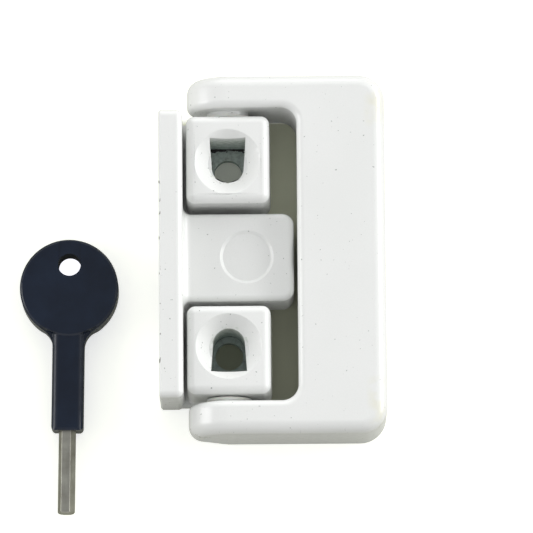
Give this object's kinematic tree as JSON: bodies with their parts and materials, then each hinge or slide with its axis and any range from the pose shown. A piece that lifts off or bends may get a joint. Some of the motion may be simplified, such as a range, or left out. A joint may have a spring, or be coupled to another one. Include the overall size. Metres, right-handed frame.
{
  "type": "window swing lock",
  "caption": "White surface-mounted window lock with a C-shaped swing arm on two screwed-down pivot blocks, a key-driven bolt, and a loose hexagon key with a round head.",
  "frame": {"origin": "midway between the two fixing holes, on the mounting face at the back", "axes": "+X from the rail to the swing arm's slab, +Y along the arm's pivot axis, +Z away from the window frame"},
  "size_m": [0.0757, 0.0895, 0.0176],
  "materials": {
    "white_zinc": "satin gloss white powder coat on die-cast zinc",
    "white_nylon": "moulded nylon",
    "plated_steel": "bright zinc plate",
    "navy_plastic": "semi-gloss moulded plastic",
    "key_steel": "nickel plated drawn bar"
  },
  "bodies": {
    "base": {"base_casting": "white_zinc", "upper_pivot_block": "white_zinc", "lower_pivot_block": "white_zinc"},
    "arm": {"swing_arm": "white_zinc", "upper_pivot_bush": "white_nylon", "lower_pivot_bush": "white_nylon", "drive_retaining_washer": "plated_steel", "bolt_guide_pin": "plated_steel"},
    "drive": {"drive_screw": "plated_steel"},
    "bolt": {"lock_bolt": "plated_steel"},
    "key": {"key_head": "navy_plastic", "key_blade": "key_steel"}
  },
  "joints": [
    {"name": "arm_swing", "type": "hinge", "parent": "base", "child": "arm", "pos_m": [0, 0, 0.0084], "axis": [0, -1, 0], "range_deg": [0, 112]},
    {"name": "drive_turn", "type": "hinge", "parent": "arm", "child": "drive", "pos_m": [0.0285, 0, 0.007], "axis": [-1, 0, 0], "range_deg": [0, 720]},
    {"name": "bolt_slide", "type": "slide", "parent": "arm", "child": "bolt", "axis": [-1, 0, 0], "range_m": [0, 0.004]},
    {"name": "key_lift", "type": "slide", "parent": "base", "child": "key", "axis": [0, 0, 1], "range_m": [0, 0.06]}
  ],
  "couplings": [
    {"joint": "drive_turn", "follows": "bolt_slide", "rad_per_m": 3141.6}
  ]
}
